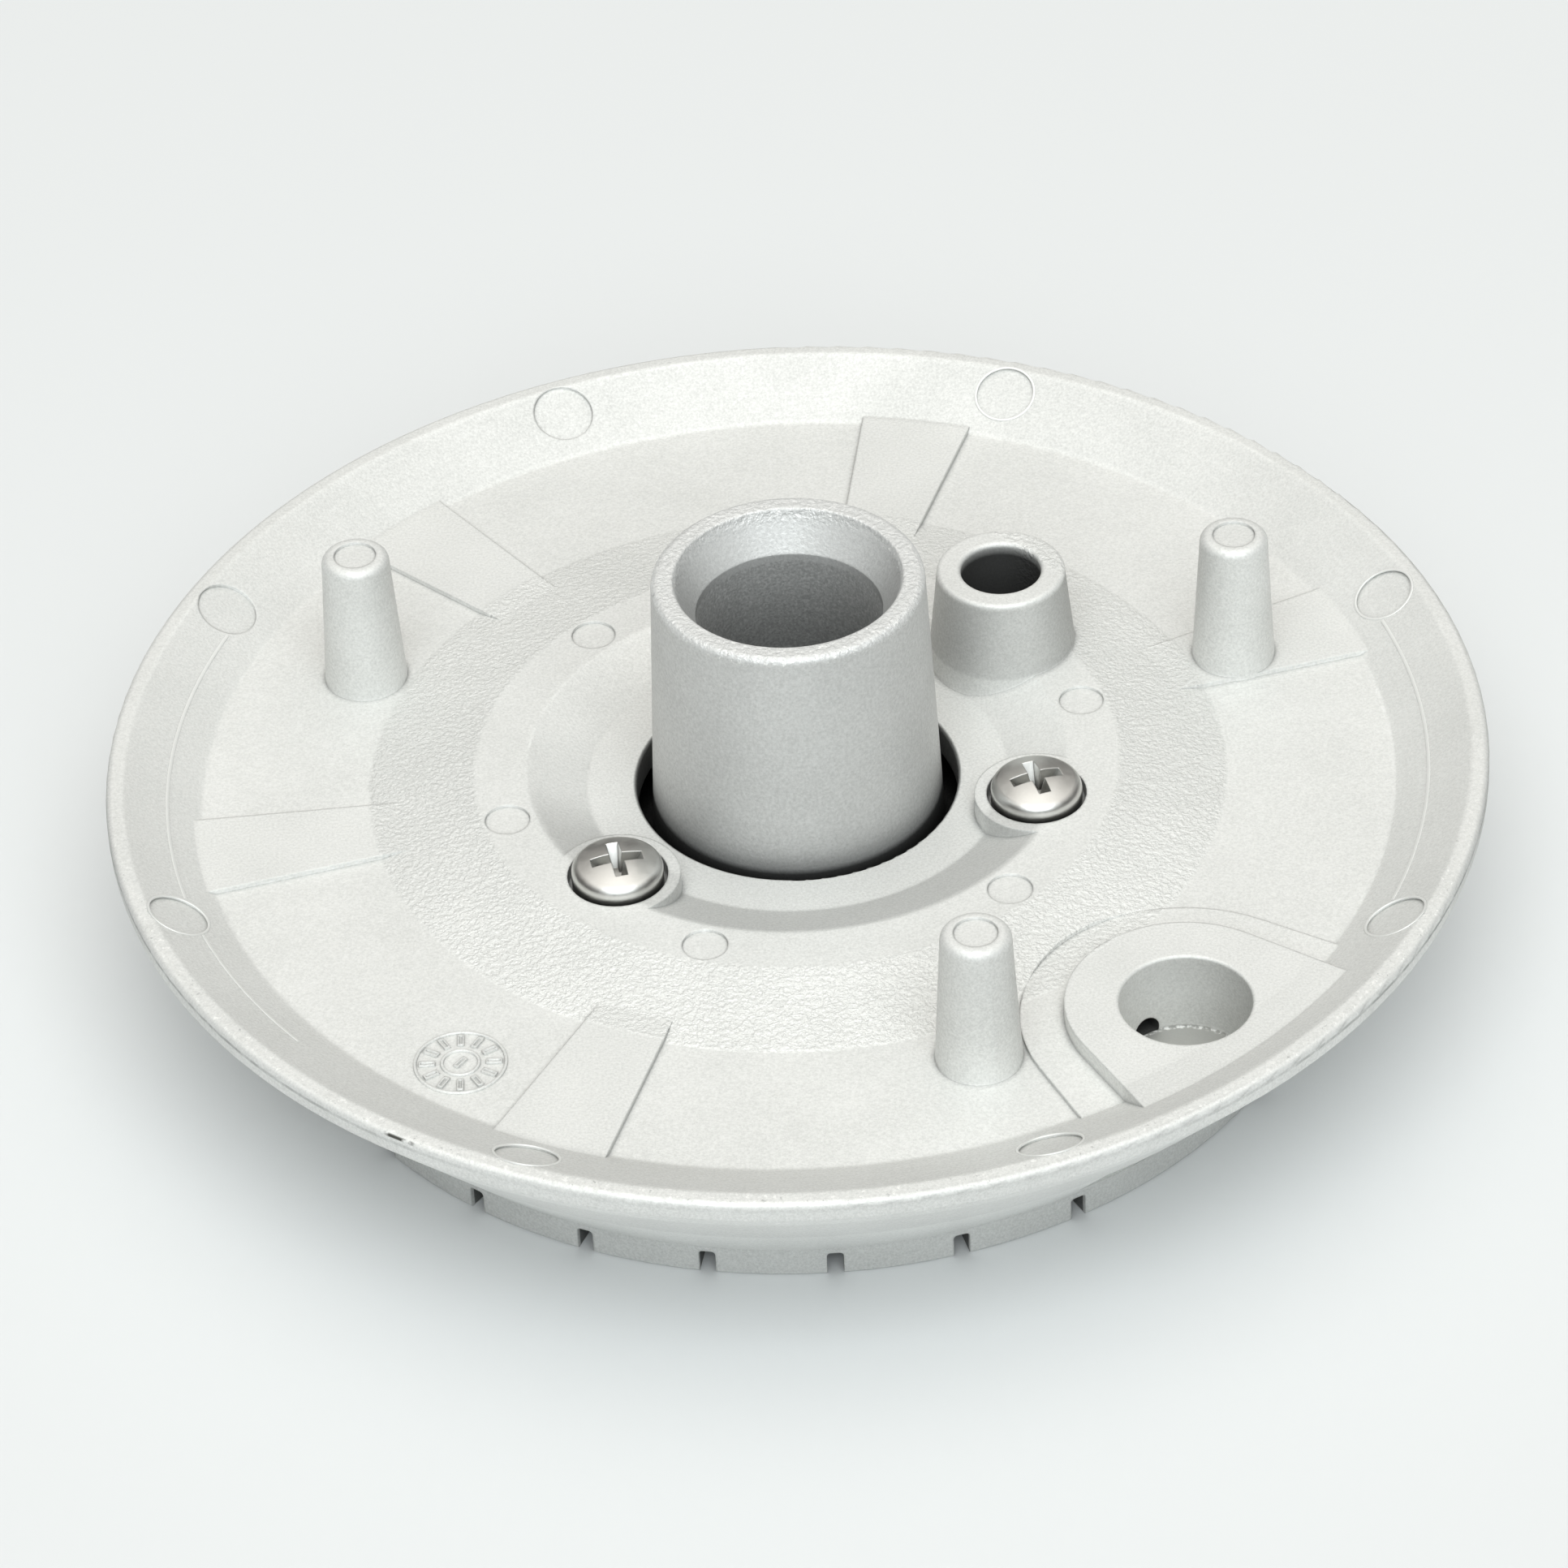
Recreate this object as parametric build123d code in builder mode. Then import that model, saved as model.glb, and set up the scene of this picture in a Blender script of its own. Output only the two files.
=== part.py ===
from build123d import *
import os
from math import asin, atan2, cos, degrees, radians, sin, tan

# Gas range burner head, lying upside down on its crown with the gas inlet up; sizes in mm, angles in degrees

# Flange: rim lip and the sloping band inside it
flange_radius = 60.0
lip_height = 20.4
lip_width = 1.5
lip_round = 0.6
lip_edge_drop = 1.75
lip_under_round = 0.35
floor_depth = 3.4
floor_outer_radius = 51.9
floor_inner_radius = 37.4
floor_round = 0.8

# Raised plateau ring, sunken ring and central hole
plateau_rise = 1.4
plateau_outer_radius = 28.0
plateau_inner_radius = 23.6
plateau_round = 0.6
ring_drop = 2.0
ring_radius = 18.4
ring_round = 0.5
hole_radius = 14.05
hole_edge_round = 0.3
web_thickness = 2.8

# Bowl and the toothed crown it stands on
crown_radius = 46.2
crown_wall = 3.0
crown_tooth = 2.9
crown_rim_round = 0.35
crease_round = 0.5
bowl_top_wall = 4.6

# Flame ports cut up into the crown
port_pitch_count = 27
port_skip_angle = -48.5
port_width = 1.42
port_height = 2.35
port_round = 0.35

# Raised strips across the floor
strip_count = 5
strip_first_angle = 19.5
strip_pitch = 56.5
strip_width_angle = 11.0
strip_height = 0.38
strip_overlap = 1.6

# Igniter socket with its pad, platform and gas passage, and the relief cut in the bowl below it
igniter_angle = -48.4
socket_distance = 47.1
socket_radius = 5.58
socket_depth = 7.7
socket_wall = 2.4
socket_base = 2.2
socket_rim_round = 0.25
pad_radius = 13.8
pad_rise = 0.3
pad_flare = 16.8
platform_radius = 10.1
platform_rise = 1.8
platform_reach = 56.6
platform_flare = 13.4
passage_radius = 1.3
passage_height = 1.75
passage_turn = -9.0
relief_sill = 5.0
relief_height = 5.0
relief_depth = 1.5
relief_arc = 29.2
skin = 0.6

# Tapered locating posts
post_distance = 41.4
post_right_angle = 18.9
post_left_angle = 156.3
post_near_angle = -70.4
post_base_radius = 3.68
post_top_radius = 2.95
post_height = 13.4
post_top_round = 0.8
post_mark_radius = 1.85

# Small gas inlet boss
inlet_distance = 24.7
inlet_angle = 40.4
inlet_base_radius = 6.65
inlet_top_radius = 5.65
inlet_height = 7.6
inlet_bore_radius = 3.55
inlet_round = 0.4

# Ejector pin marks
mark_depth = 0.2
plateau_mark_distance = 26.0
plateau_mark_angles = (14.0, 73.0, 132.5, 194.5, 251.0, 312.5)
plateau_mark_radius = 1.95
band_mark_distance = 56.1
band_mark_angles = (68.0, 19.2, -27.9, -70.2, -114.7, -161.0, 154.0, 111.0)
band_mark_radius = 2.75

# Three pan head screws and the seats they clamp on
screw_count = 3
screw_distance = 21.5
screw_first_angle = 103.0
screw_boss_radius = 5.4
screw_head_radius = 3.95
screw_head_side = 2.4
screw_head_height = 3.2
screw_shoulder_round = 0.9
screw_head_gap = 0.38
screw_head_sink = 1.3
screw_shank_radius = 2.0
screw_length = 8.0
screw_tip_chamfer = 0.4
screw_hole_gap = 0.25
thread_gap = 0.05
recess_length = 4.9
recess_width = 1.15
recess_depth = 2.0
recess_taper = 0.4
hidden_screw_turn = 0.0
left_screw_turn = 58.0
right_screw_turn = 34.0

# Venturi tube with its clamping foot
tube_rise = 21.8
tube_base_radius = 12.92
tube_top_radius = 11.73
tube_rim_round = 0.65
mouth_round = 0.2
tube_foot_round = 1.0
mouth_radius = 9.88
throat_radius = 8.05
funnel_depth = 3.6
throat_length = 14.0
outlet_radius = 10.1
foot_radius = 19.4
foot_thickness = 3.0
foot_drop = 4.0
pillar_radius = 6.2

# How far a cut runs past the face it opens, and how close an edge lies to the height it is picked by
cut_margin = 1.0
pick_margin = 0.01

# Heights that follow from the sizes above
floor_z = lip_height - floor_depth
plateau_z = floor_z + plateau_rise
ring_z = plateau_z - ring_drop
seat_z = ring_z - web_thickness
platform_z = floor_z + platform_rise
socket_floor_z = platform_z - socket_depth
screw_seat_z = plateau_z - screw_head_sink
lip_inner_radius = flange_radius - lip_width
lip_edge_z = lip_height - lip_edge_drop
bowl_slope = (flange_radius - crown_radius) / (lip_edge_z - crown_tooth)
relief_back = crown_radius + (relief_sill - crown_tooth) * bowl_slope - relief_depth
bowl_inner_radius = crown_radius + (seat_z - crown_tooth) * bowl_slope - bowl_top_wall
band_width = lip_inner_radius - floor_outer_radius
band_slope = degrees(atan2(floor_depth, band_width))
band_mark_z = floor_z + (band_mark_distance - floor_outer_radius) * floor_depth / band_width


# Rounds the corner of the sketch being drawn that lies nearest to a point
def soften(sketch, point, radius):
    fillet(sketch.vertices().sort_by_distance(point)[0], radius)


# Outline round the igniter socket: a round inner end whose straight sides flare out to the rim
def draw_teardrop(radius, flare, reach):
    touch_x = socket_distance - radius * sin(radians(flare))
    touch_y = radius * cos(radians(flare))
    end_y = touch_y + (reach - touch_x) * tan(radians(flare))
    with Locations(Location((0, 0, 0), (0, 0, igniter_angle))):
        with Locations((socket_distance, 0)):
            Circle(radius)
        Polygon((touch_x, -touch_y), (reach, -end_y), (reach, end_y), (touch_x, touch_y), align=None)
    Circle(reach, mode=Mode.INTERSECT)


os.makedirs("parts", exist_ok=True)

# Cutting shape of one flame port
with BuildPart() as port_cutter:
    with BuildSketch(Plane.YZ.offset(crown_radius - 2 * crown_wall)) as port_outline:
        with Locations((0, port_height / 2 - port_round)):
            Rectangle(port_width, port_height + 2 * port_round)
        fillet(port_outline.vertices().sort_by(Axis.Y)[-2:], port_round)
    extrude(amount=4 * crown_wall)

# Cutting shape of the arched gas passage that leads from the socket towards the burner's middle
with BuildPart() as passage_cutter:
    with BuildSketch(Plane.YZ):
        with Locations((0, passage_height - passage_radius)):
            Circle(passage_radius)
        with Locations((0, passage_height)):
            Rectangle(2 * passage_radius, 2 * passage_height, mode=Mode.INTERSECT)
    extrude(amount=-(socket_radius + 2 * socket_wall))

# Cutting shape of the relief above the tooth without a port, whose back follows the bowl's slope
with BuildPart() as relief_cutter:
    with BuildSketch(Plane.XZ):
        Polygon(
            (relief_back, relief_sill),
            (flange_radius, relief_sill),
            (flange_radius, relief_sill + relief_height),
            (relief_back + relief_height * bowl_slope, relief_sill + relief_height),
            align=None,
        )
    revolve(axis=Axis.Z, revolution_arc=relief_arc)

# Head casting
with BuildPart() as burner_head:
    # Closed can of the igniter socket, kept inside the bowl's outer skin
    with BuildSketch(Plane.XY.offset(socket_floor_z - socket_base)):
        with PolarLocations(socket_distance, 1, igniter_angle):
            Circle(socket_radius + socket_wall)
    extrude(amount=socket_depth - platform_rise + socket_base)
    with BuildSketch(Plane.XZ):
        Polygon(
            (0, 0),
            (crown_radius - skin, 0),
            (crown_radius - skin, crown_tooth),
            (flange_radius - skin, lip_edge_z),
            (flange_radius - skin, lip_height),
            (0, lip_height),
            align=None,
        )
    revolve(axis=Axis.Z, mode=Mode.INTERSECT)

    # Dished wall from the central hole over the flange to the crown
    with BuildSketch(Plane.XZ) as wall:
        Polygon(
            (hole_radius, ring_z),
            (ring_radius, ring_z),
            (plateau_inner_radius, plateau_z),
            (plateau_outer_radius, plateau_z),
            (floor_inner_radius, floor_z),
            (floor_outer_radius, floor_z),
            (lip_inner_radius, lip_height),
            (flange_radius, lip_height),
            (flange_radius, lip_edge_z),
            (crown_radius, crown_tooth),
            (crown_radius, 0),
            (crown_radius - crown_wall, 0),
            (crown_radius - crown_wall, crown_tooth),
            (bowl_inner_radius, seat_z),
            (hole_radius, seat_z),
            align=None,
        )
        soften(wall, (hole_radius, ring_z), hole_edge_round)
        soften(wall, (ring_radius, ring_z), ring_round)
        soften(wall, (plateau_inner_radius, plateau_z), plateau_round)
        soften(wall, (plateau_outer_radius, plateau_z), plateau_round)
        soften(wall, (floor_inner_radius, floor_z), floor_round)
        soften(wall, (floor_outer_radius, floor_z), floor_round)
        soften(wall, (lip_inner_radius, lip_height), lip_round)
        soften(wall, (flange_radius, lip_height), lip_round)
        soften(wall, (flange_radius, lip_edge_z), lip_under_round)
        soften(wall, (crown_radius, crown_tooth), crease_round)
        soften(wall, (crown_radius, 0), crown_rim_round)
        soften(wall, (crown_radius - crown_wall, 0), crown_rim_round)
    revolve(axis=Axis.Z)

    # Raised strips between the plateau's foot and the rim band
    strip_half = radians(strip_width_angle / 2)
    strip_start = floor_inner_radius - (floor_inner_radius - plateau_outer_radius) / 2
    strip_end = floor_outer_radius + strip_overlap
    with BuildSketch(Plane.XY.offset(floor_z - strip_height)):
        for strip in range(strip_count):
            strip_angle = strip_first_angle + strip * strip_pitch
            with Locations(Location((0, 0, 0), (0, 0, strip_angle))):
                Polygon(
                    (strip_start * cos(strip_half), -strip_start * sin(strip_half)),
                    (strip_end * cos(strip_half), -strip_end * sin(strip_half)),
                    (strip_end * cos(strip_half), strip_end * sin(strip_half)),
                    (strip_start * cos(strip_half), strip_start * sin(strip_half)),
                    align=None,
                )
    extrude(amount=2 * strip_height)

    # Pad and platform round the igniter socket
    with BuildSketch(Plane.XY.offset(floor_z - pad_rise)):
        draw_teardrop(pad_radius, pad_flare, strip_end)
    extrude(amount=2 * pad_rise)
    with BuildSketch(Plane.XY.offset(floor_z + pad_rise)):
        draw_teardrop(pad_radius, pad_flare, floor_outer_radius)
    extrude(amount=plateau_rise, mode=Mode.SUBTRACT)
    with BuildSketch(Plane.XY.offset(floor_z - pad_rise)):
        draw_teardrop(platform_radius, platform_flare, platform_reach)
    extrude(amount=platform_rise + pad_rise)

    # Bosses round the screw heads
    with BuildSketch(Plane.XY.offset(seat_z + web_thickness / 2)):
        with PolarLocations(screw_distance, screw_count, screw_first_angle):
            Circle(screw_boss_radius)
    extrude(amount=plateau_z - seat_z - web_thickness / 2)

    # Small gas inlet boss
    with PolarLocations(inlet_distance, 1, inlet_angle):
        with Locations((0, 0, ring_z)):
            Cone(
                inlet_base_radius,
                inlet_top_radius,
                inlet_height + ring_drop,
                align=(Align.CENTER, Align.CENTER, Align.MIN),
            )

    # Locating posts
    for post_angle in (post_right_angle, post_left_angle, post_near_angle):
        with PolarLocations(post_distance, 1, post_angle):
            with Locations((0, 0, floor_z)):
                Cone(
                    post_base_radius,
                    post_top_radius,
                    post_height,
                    align=(Align.CENTER, Align.CENTER, Align.MIN),
                )
    post_top_z = floor_z + post_height
    post_edges = burner_head.edges().filter_by(GeomType.CIRCLE).filter_by_position(
        Axis.Z, post_top_z - pick_margin, post_top_z + pick_margin
    )
    fillet(post_edges, post_top_round)

    # Bore of the gas inlet boss, with its rim rounded
    inlet_top_z = plateau_z + inlet_height
    with PolarLocations(inlet_distance, 1, inlet_angle):
        with Locations((0, 0, seat_z - cut_margin)):
            Cylinder(
                inlet_bore_radius,
                inlet_top_z - seat_z + 2 * cut_margin,
                align=(Align.CENTER, Align.CENTER, Align.MIN),
                mode=Mode.SUBTRACT,
            )
    inlet_edges = burner_head.edges().filter_by(GeomType.CIRCLE).filter_by_position(
        Axis.Z, inlet_top_z - pick_margin, inlet_top_z + pick_margin
    )
    fillet(inlet_edges, inlet_round)

    # Igniter socket, its gas passage and the relief in the bowl's outer face
    with PolarLocations(socket_distance, 1, igniter_angle):
        with Locations((0, 0, socket_floor_z)):
            Cylinder(
                socket_radius,
                socket_depth + cut_margin,
                align=(Align.CENTER, Align.CENTER, Align.MIN),
                mode=Mode.SUBTRACT,
            )
        with Locations(Location((0, 0, socket_floor_z), (0, 0, passage_turn))):
            add(passage_cutter.part, mode=Mode.SUBTRACT)
    with PolarLocations(0, 1, igniter_angle - relief_arc / 2):
        add(relief_cutter.part, mode=Mode.SUBTRACT)
    socket_edges = burner_head.edges().filter_by(GeomType.CIRCLE).filter_by_position(
        Axis.Z, platform_z - pick_margin, platform_z + pick_margin
    )
    fillet(
        socket_edges.filter_by(lambda edge: abs(edge.radius - socket_radius) < pick_margin),
        socket_rim_round,
    )

    # Counterbores and clearance holes of the screws
    with PolarLocations(screw_distance, screw_count, screw_first_angle):
        with Locations((0, 0, screw_seat_z)):
            Cylinder(
                screw_head_radius + screw_head_gap,
                screw_head_sink + cut_margin,
                align=(Align.CENTER, Align.CENTER, Align.MIN),
                mode=Mode.SUBTRACT,
            )
        with Locations((0, 0, seat_z - cut_margin)):
            Cylinder(
                screw_shank_radius + screw_hole_gap,
                screw_seat_z - seat_z + 2 * cut_margin,
                align=(Align.CENTER, Align.CENTER, Align.MIN),
                mode=Mode.SUBTRACT,
            )

    # Flame ports all round the crown, but for the one place in front of the igniter
    port_pitch = 360 / port_pitch_count
    for port in range(1, port_pitch_count):
        with PolarLocations(0, 1, port_skip_angle + port * port_pitch):
            add(port_cutter.part, mode=Mode.SUBTRACT)

    # Ejector pin marks on the plateau, the rim band and the post tops
    for mark_angle in plateau_mark_angles:
        with PolarLocations(plateau_mark_distance, 1, mark_angle):
            with Locations((0, 0, plateau_z)):
                Cylinder(plateau_mark_radius, 2 * mark_depth, mode=Mode.SUBTRACT)
    for mark_angle in band_mark_angles:
        with PolarLocations(0, 1, mark_angle):
            with Locations(Location((band_mark_distance, 0, band_mark_z), (0, -band_slope, 0))):
                Cylinder(band_mark_radius, 2 * mark_depth, mode=Mode.SUBTRACT)
    for post_angle in (post_right_angle, post_left_angle, post_near_angle):
        with PolarLocations(post_distance, 1, post_angle):
            with Locations((0, 0, post_top_z)):
                Cylinder(post_mark_radius, 2 * mark_depth, mode=Mode.SUBTRACT)
burner_head.part.label = "burner_head"
export_step(burner_head.part, "parts/burner_head.step")

# Venturi tube casting
tube_top_z = ring_z + tube_rise
throat_top_z = tube_top_z - funnel_depth
throat_end_z = throat_top_z - throat_length
foot_top_z = seat_z - foot_drop
foot_z = foot_top_z - foot_thickness
with BuildPart() as venturi_tube:
    with BuildSketch(Plane.XZ) as tube_wall:
        Polygon(
            (mouth_radius, tube_top_z),
            (tube_top_radius, tube_top_z),
            (tube_base_radius, foot_top_z),
            (foot_radius, foot_top_z),
            (foot_radius, foot_z),
            (outlet_radius, foot_z),
            (throat_radius, throat_end_z),
            (throat_radius, throat_top_z),
            align=None,
        )
        soften(tube_wall, (mouth_radius, tube_top_z), mouth_round)
        soften(tube_wall, (tube_top_radius, tube_top_z), tube_rim_round)
        soften(tube_wall, (tube_base_radius, foot_top_z), tube_foot_round)
    revolve(axis=Axis.Z)

    # Three pillars that stand against the head's web, tapped for the screws
    with BuildSketch(Plane.XY.offset(foot_z)):
        with PolarLocations(screw_distance, screw_count, screw_first_angle):
            Circle(pillar_radius)
    extrude(amount=seat_z - foot_z)
    with PolarLocations(screw_distance, screw_count, screw_first_angle):
        with Locations((0, 0, seat_z + cut_margin)):
            Cylinder(
                screw_shank_radius + thread_gap,
                seat_z - foot_z + 2 * cut_margin,
                align=(Align.CENTER, Align.CENTER, Align.MAX),
                mode=Mode.SUBTRACT,
            )
venturi_tube.part.label = "venturi_tube"
export_step(venturi_tube.part, "parts/venturi_tube.step")

# One pan head screw with a cross recess, standing on its seat
with BuildPart() as one_screw:
    with BuildSketch(Plane.XZ) as screw_outline:
        with BuildLine():
            Polyline(
                (0, screw_head_height),
                (0, -screw_length),
                (screw_shank_radius - screw_tip_chamfer, -screw_length),
                (screw_shank_radius, -screw_length + screw_tip_chamfer),
                (screw_shank_radius, 0),
                (screw_head_radius, 0),
                (screw_head_radius, screw_head_side),
            )
            dome_rise = screw_head_height - screw_head_side
            dome_radius = (screw_head_radius**2 + dome_rise**2) / (2 * dome_rise)
            dome_turn = asin(screw_head_radius / dome_radius) / 2
            dome_middle_z = screw_head_height - dome_radius * (1 - cos(dome_turn))
            ThreePointArc(
                (screw_head_radius, screw_head_side),
                (dome_radius * sin(dome_turn), dome_middle_z),
                (0, screw_head_height),
            )
        make_face()
        soften(screw_outline, (screw_head_radius, screw_head_side), screw_shoulder_round)
    revolve(axis=Axis.Z)
    with BuildSketch(Plane.XY.offset(screw_head_height)):
        Rectangle(recess_length, recess_width)
        Rectangle(recess_width, recess_length)
    with BuildSketch(Plane.XY.offset(screw_head_height - recess_depth)):
        Rectangle(recess_length * recess_taper, recess_width * recess_taper)
        Rectangle(recess_width * recess_taper, recess_length * recess_taper)
    loft(mode=Mode.SUBTRACT)

# The three screws, each stopped at its own turn
with BuildPart() as clamp_screws:
    for screw, turn in enumerate((hidden_screw_turn, left_screw_turn, right_screw_turn)):
        with PolarLocations(screw_distance, 1, screw_first_angle + screw * 360 / screw_count):
            with Locations(Location((0, 0, screw_seat_z), (0, 0, turn))):
                add(one_screw.part)
clamp_screws.part.label = "clamp_screws"
export_step(clamp_screws.part, "parts/clamp_screws.step")
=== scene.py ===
import math
import bpy
from mathutils import Matrix, Vector


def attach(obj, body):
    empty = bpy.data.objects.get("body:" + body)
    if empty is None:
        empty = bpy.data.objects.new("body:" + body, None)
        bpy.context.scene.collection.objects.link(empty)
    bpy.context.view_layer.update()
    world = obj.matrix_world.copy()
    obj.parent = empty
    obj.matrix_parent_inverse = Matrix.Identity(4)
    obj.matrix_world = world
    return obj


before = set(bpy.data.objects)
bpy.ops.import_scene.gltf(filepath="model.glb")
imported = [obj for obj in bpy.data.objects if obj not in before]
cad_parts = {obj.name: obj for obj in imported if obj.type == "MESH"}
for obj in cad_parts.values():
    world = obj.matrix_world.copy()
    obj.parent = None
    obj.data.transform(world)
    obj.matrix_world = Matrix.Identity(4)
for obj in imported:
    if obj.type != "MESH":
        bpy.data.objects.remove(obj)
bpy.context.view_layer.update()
scene = bpy.context.scene
scene.view_settings.view_transform = "Standard"

# Sizes of the castings that the looks follow, in metres and degrees
mm = 0.001
lip_top = 20.4 * mm
lip_inner_radius = 58.5 * mm
flange_radius = 60.0 * mm
lip_round = 0.6 * mm
lip_edge_drop = 1.75 * mm
floor_top = 17.0 * mm
floor_inner_radius = 37.4 * mm
floor_outer_radius = 51.9 * mm
band_slope = math.atan2(lip_top - floor_top, lip_inner_radius - floor_outer_radius)
plateau_top = 18.4 * mm
plateau_radius = 28.0 * mm
hollow_radius = 23.8 * mm
ring_top = 16.4 * mm
ring_radius = 18.4 * mm
hole_radius = 14.05 * mm
foot_top = 9.6 * mm
crown_top = 2.9 * mm
crown_radius = 46.2 * mm
crown_wall = 3.0 * mm
port_top = 2.35 * mm
igniter_angle = -48.4
socket_distance = 47.1 * mm
socket_radius = 5.58 * mm
socket_floor = 11.1 * mm
inlet_angle = 40.4
inlet_distance = 24.7 * mm
inlet_bore_radius = 3.55 * mm
inlet_top = 26.0 * mm
boss_radius = 6.7 * mm
tube_top = 38.2 * mm
tube_throat_top = 34.0 * mm
tube_mouth_radius = 11.2 * mm
tube_outside_radius = 11.6 * mm

# Parting line of the die on the rim band
parting_radius = 54.8 * mm
parting_width = 0.3 * mm
parting_rise = 0.06 * mm
parting_clear = 2.75
parting_spans = ((-27.9, 19.2), (154.0, 199.0), (199.0, 222.0))

# Marks of the ejector pins on the rim band, each with a ring of flash
pin_distance = 56.1 * mm
pin_angles = (68.0, 19.2, -27.9, -70.2, -114.7, -161.0)
pin_radius = 2.75 * mm
flash_width = 0.22 * mm
flash_rise = 0.08 * mm

# Date dial cast on the floor
dial_angle = -128.4
dial_distance = 46.8 * mm
dial_radius = 3.8 * mm
dial_hub_radius = 1.55 * mm
dial_line = 0.26 * mm
dial_rise = 0.17 * mm
dial_tick_count = 12
dial_tick_length = 1.35 * mm
dial_tick_width = 0.56 * mm
dial_tick_outline = 0.15 * mm
dial_tick_wall = 0.03 * mm
dial_tick_depth = 0.136 * mm
dial_tick_middle = 2.8 * mm
dial_pointer_width = 0.5 * mm

# Modelling of the beads and bars
full_turn = 360.0
bead_steps_per_turn = 240
bead_least_steps = 8
bead_corner_share = 0.45
bead_corner_steps = 2
merge_distance = 0.0005 * mm
smooth_angle = math.radians(50.0)
top_face_tilt = 0.5

# Grain that the castings share
noise_roughness = 0.5
noise_span = (0.3, 0.7)
grain_detail = 3.0
grain_roughness = 0.7
lump_scale = 2300.0
lump_detail = 2.0
lump_roughness = 0.6
lump_span = (0.35, 0.65)
cloud_scale = 110.0
cloud_detail = 3.0
cloud_swing = 0.15
speckle_swing = 0.5
middle_tone = 0.5
grain_depth = 0.06 * mm
edge_round = 0.3 * mm
edge_samples = 6

# Painted shade of steep sides and corners that the castings share, with painted light in the corners that
# face the front
steep_span = (0.1, 0.7)
corner_reach = 0.6 * mm
corner_span = (0.45, 0.95)
front_span = (-0.75, -0.25)
front_corner_light = 1.15
shade_samples = 8

# Chips on trimmed edges
chip_detail = 3.0
chip_roughness = 0.65
chip_bright_span = (0.6, 0.66)
chip_dark_span = (0.31, 0.35)
chip_colour = (0.97, 0.97, 0.95, 1.0)
chip_dark_tone = 0.72

# Skin of the burner head, with painted shade on the left and right of its cone
head_metallic = 0.38
head_grain_scale = 4200.0
head_tones = ((0.715, 0.72, 0.70, 1.0), (0.905, 0.91, 0.89, 1.0))
head_side_shade = 0.92
head_corner_shade = 0.6
head_roughness = (0.66, 0.5)
head_bump = 0.45
head_pebble = 0.05
cone_pebble = 2.6
cone_margin = 0.3 * mm
cone_fade = 0.4 * mm
cone_shade_span = (2.0 * mm, 20.0 * mm)
cone_shade_tones = (0.94, 1.01)
lip_blend = 0.2 * mm
lip_edge_clear = 0.5 * mm

# Streaks on the rim band, and painted shade at its near and far ends
band_margin = 0.5 * mm
band_fade = 0.4 * mm
streak_scale = 2600.0
streak_detail = 2.0
streak_tone = 0.965
band_end_shade_span = (25.0 * mm, 55.0 * mm)
band_end_shade_tone = 0.935

# Painted shade on the crown and on the gas inlet boss
crown_shade_tone = 0.92
crown_fade_below = 0.2 * mm
crown_fade_above = 0.3 * mm
boss_fade = 0.2 * mm
boss_foot_clear = 0.2 * mm
boss_brim_clear = 0.6 * mm
boss_side_fade = 0.3 * mm
boss_turn_start = 2.0 * mm
boss_turn_end = 6.0 * mm
boss_shade_tones = (0.84, 0.68)

# Painted shade in the sunken ring round the tube
ring_margin = 0.3 * mm
hollow_margin = 0.8 * mm
hollow_fade = 0.6 * mm
hollow_floor_share = 0.3
hollow_near_span = (-9.0 * mm, 0.0)
hollow_shade_tone = 0.78

# Painted shade in the bores and flame ports
inlet_shade_start = 0.05 * mm
inlet_shade_end = 0.2 * mm
inlet_shade_depth = 1.2 * mm
inlet_unshaded_depth = 0.3 * mm
inlet_shade_tone = 0.12
port_inner_clear = 0.2 * mm
port_outer_clear = 0.5 * mm
port_wall_fade = 0.1 * mm
port_base = 0.1 * mm
port_over = 0.1 * mm
port_height_fade = 0.05 * mm
port_shade_tone = 0.25
hole_shade_start = 0.1 * mm
hole_shade_end = 0.3 * mm
hole_shade_tone = 0.3

# Igniter socket, with painted light and shade on its wall and painted shade in its gas passage
socket_fade = 0.3 * mm
socket_floor_band = 0.1 * mm
socket_floor_fade = 0.2 * mm
socket_floor_colour = (0.42, 0.42, 0.40, 1.0)
socket_wall_start = 0.4 * mm
socket_wall_end = 7.5 * mm
socket_wall_light_tones = (1.3, 0.82)
crumb_start = 0.35 * mm
crumb_end = 0.15 * mm
crumb_scale = 2600.0
crumb_detail = 2.0
crumb_span = (0.45, 0.6)
crumb_colour = (0.85, 0.85, 0.83, 1.0)
passage_clear = 0.1 * mm
passage_length = 5.0 * mm
passage_inward_start = 4.5 * mm
passage_inward_end = 4.0 * mm
passage_height = 1.9 * mm
passage_shade_tone = 0.1

# Lip: chips, painted shade on its side edges, and torn trim line, drawn darker to the left and right by
# painted shade
lip_chip_scale = 1900.0
lip_chip_clear = 0.4 * mm
lip_chip_fade = 0.15 * mm
lip_near_span = (-20.0 * mm, 5.0 * mm)
lip_outer_start = 0.25 * mm
lip_outer_end = 0.05 * mm
lip_aside_span = (54.0 * mm, 59.0 * mm)
lip_aside_shade_tone = 0.76
trim_low = 0.8 * mm
trim_high = 0.6 * mm
trim_fade = 0.08 * mm
trim_aside_shade_span = (25.0 * mm, 50.0 * mm)
trim_least_share = 0.1
torn_scale = 600.0
torn_detail = 3.0
torn_roughness = 0.6
torn_span = (0.4, 0.58)
torn_least_share = 0.4
trim_tone = 0.52

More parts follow.
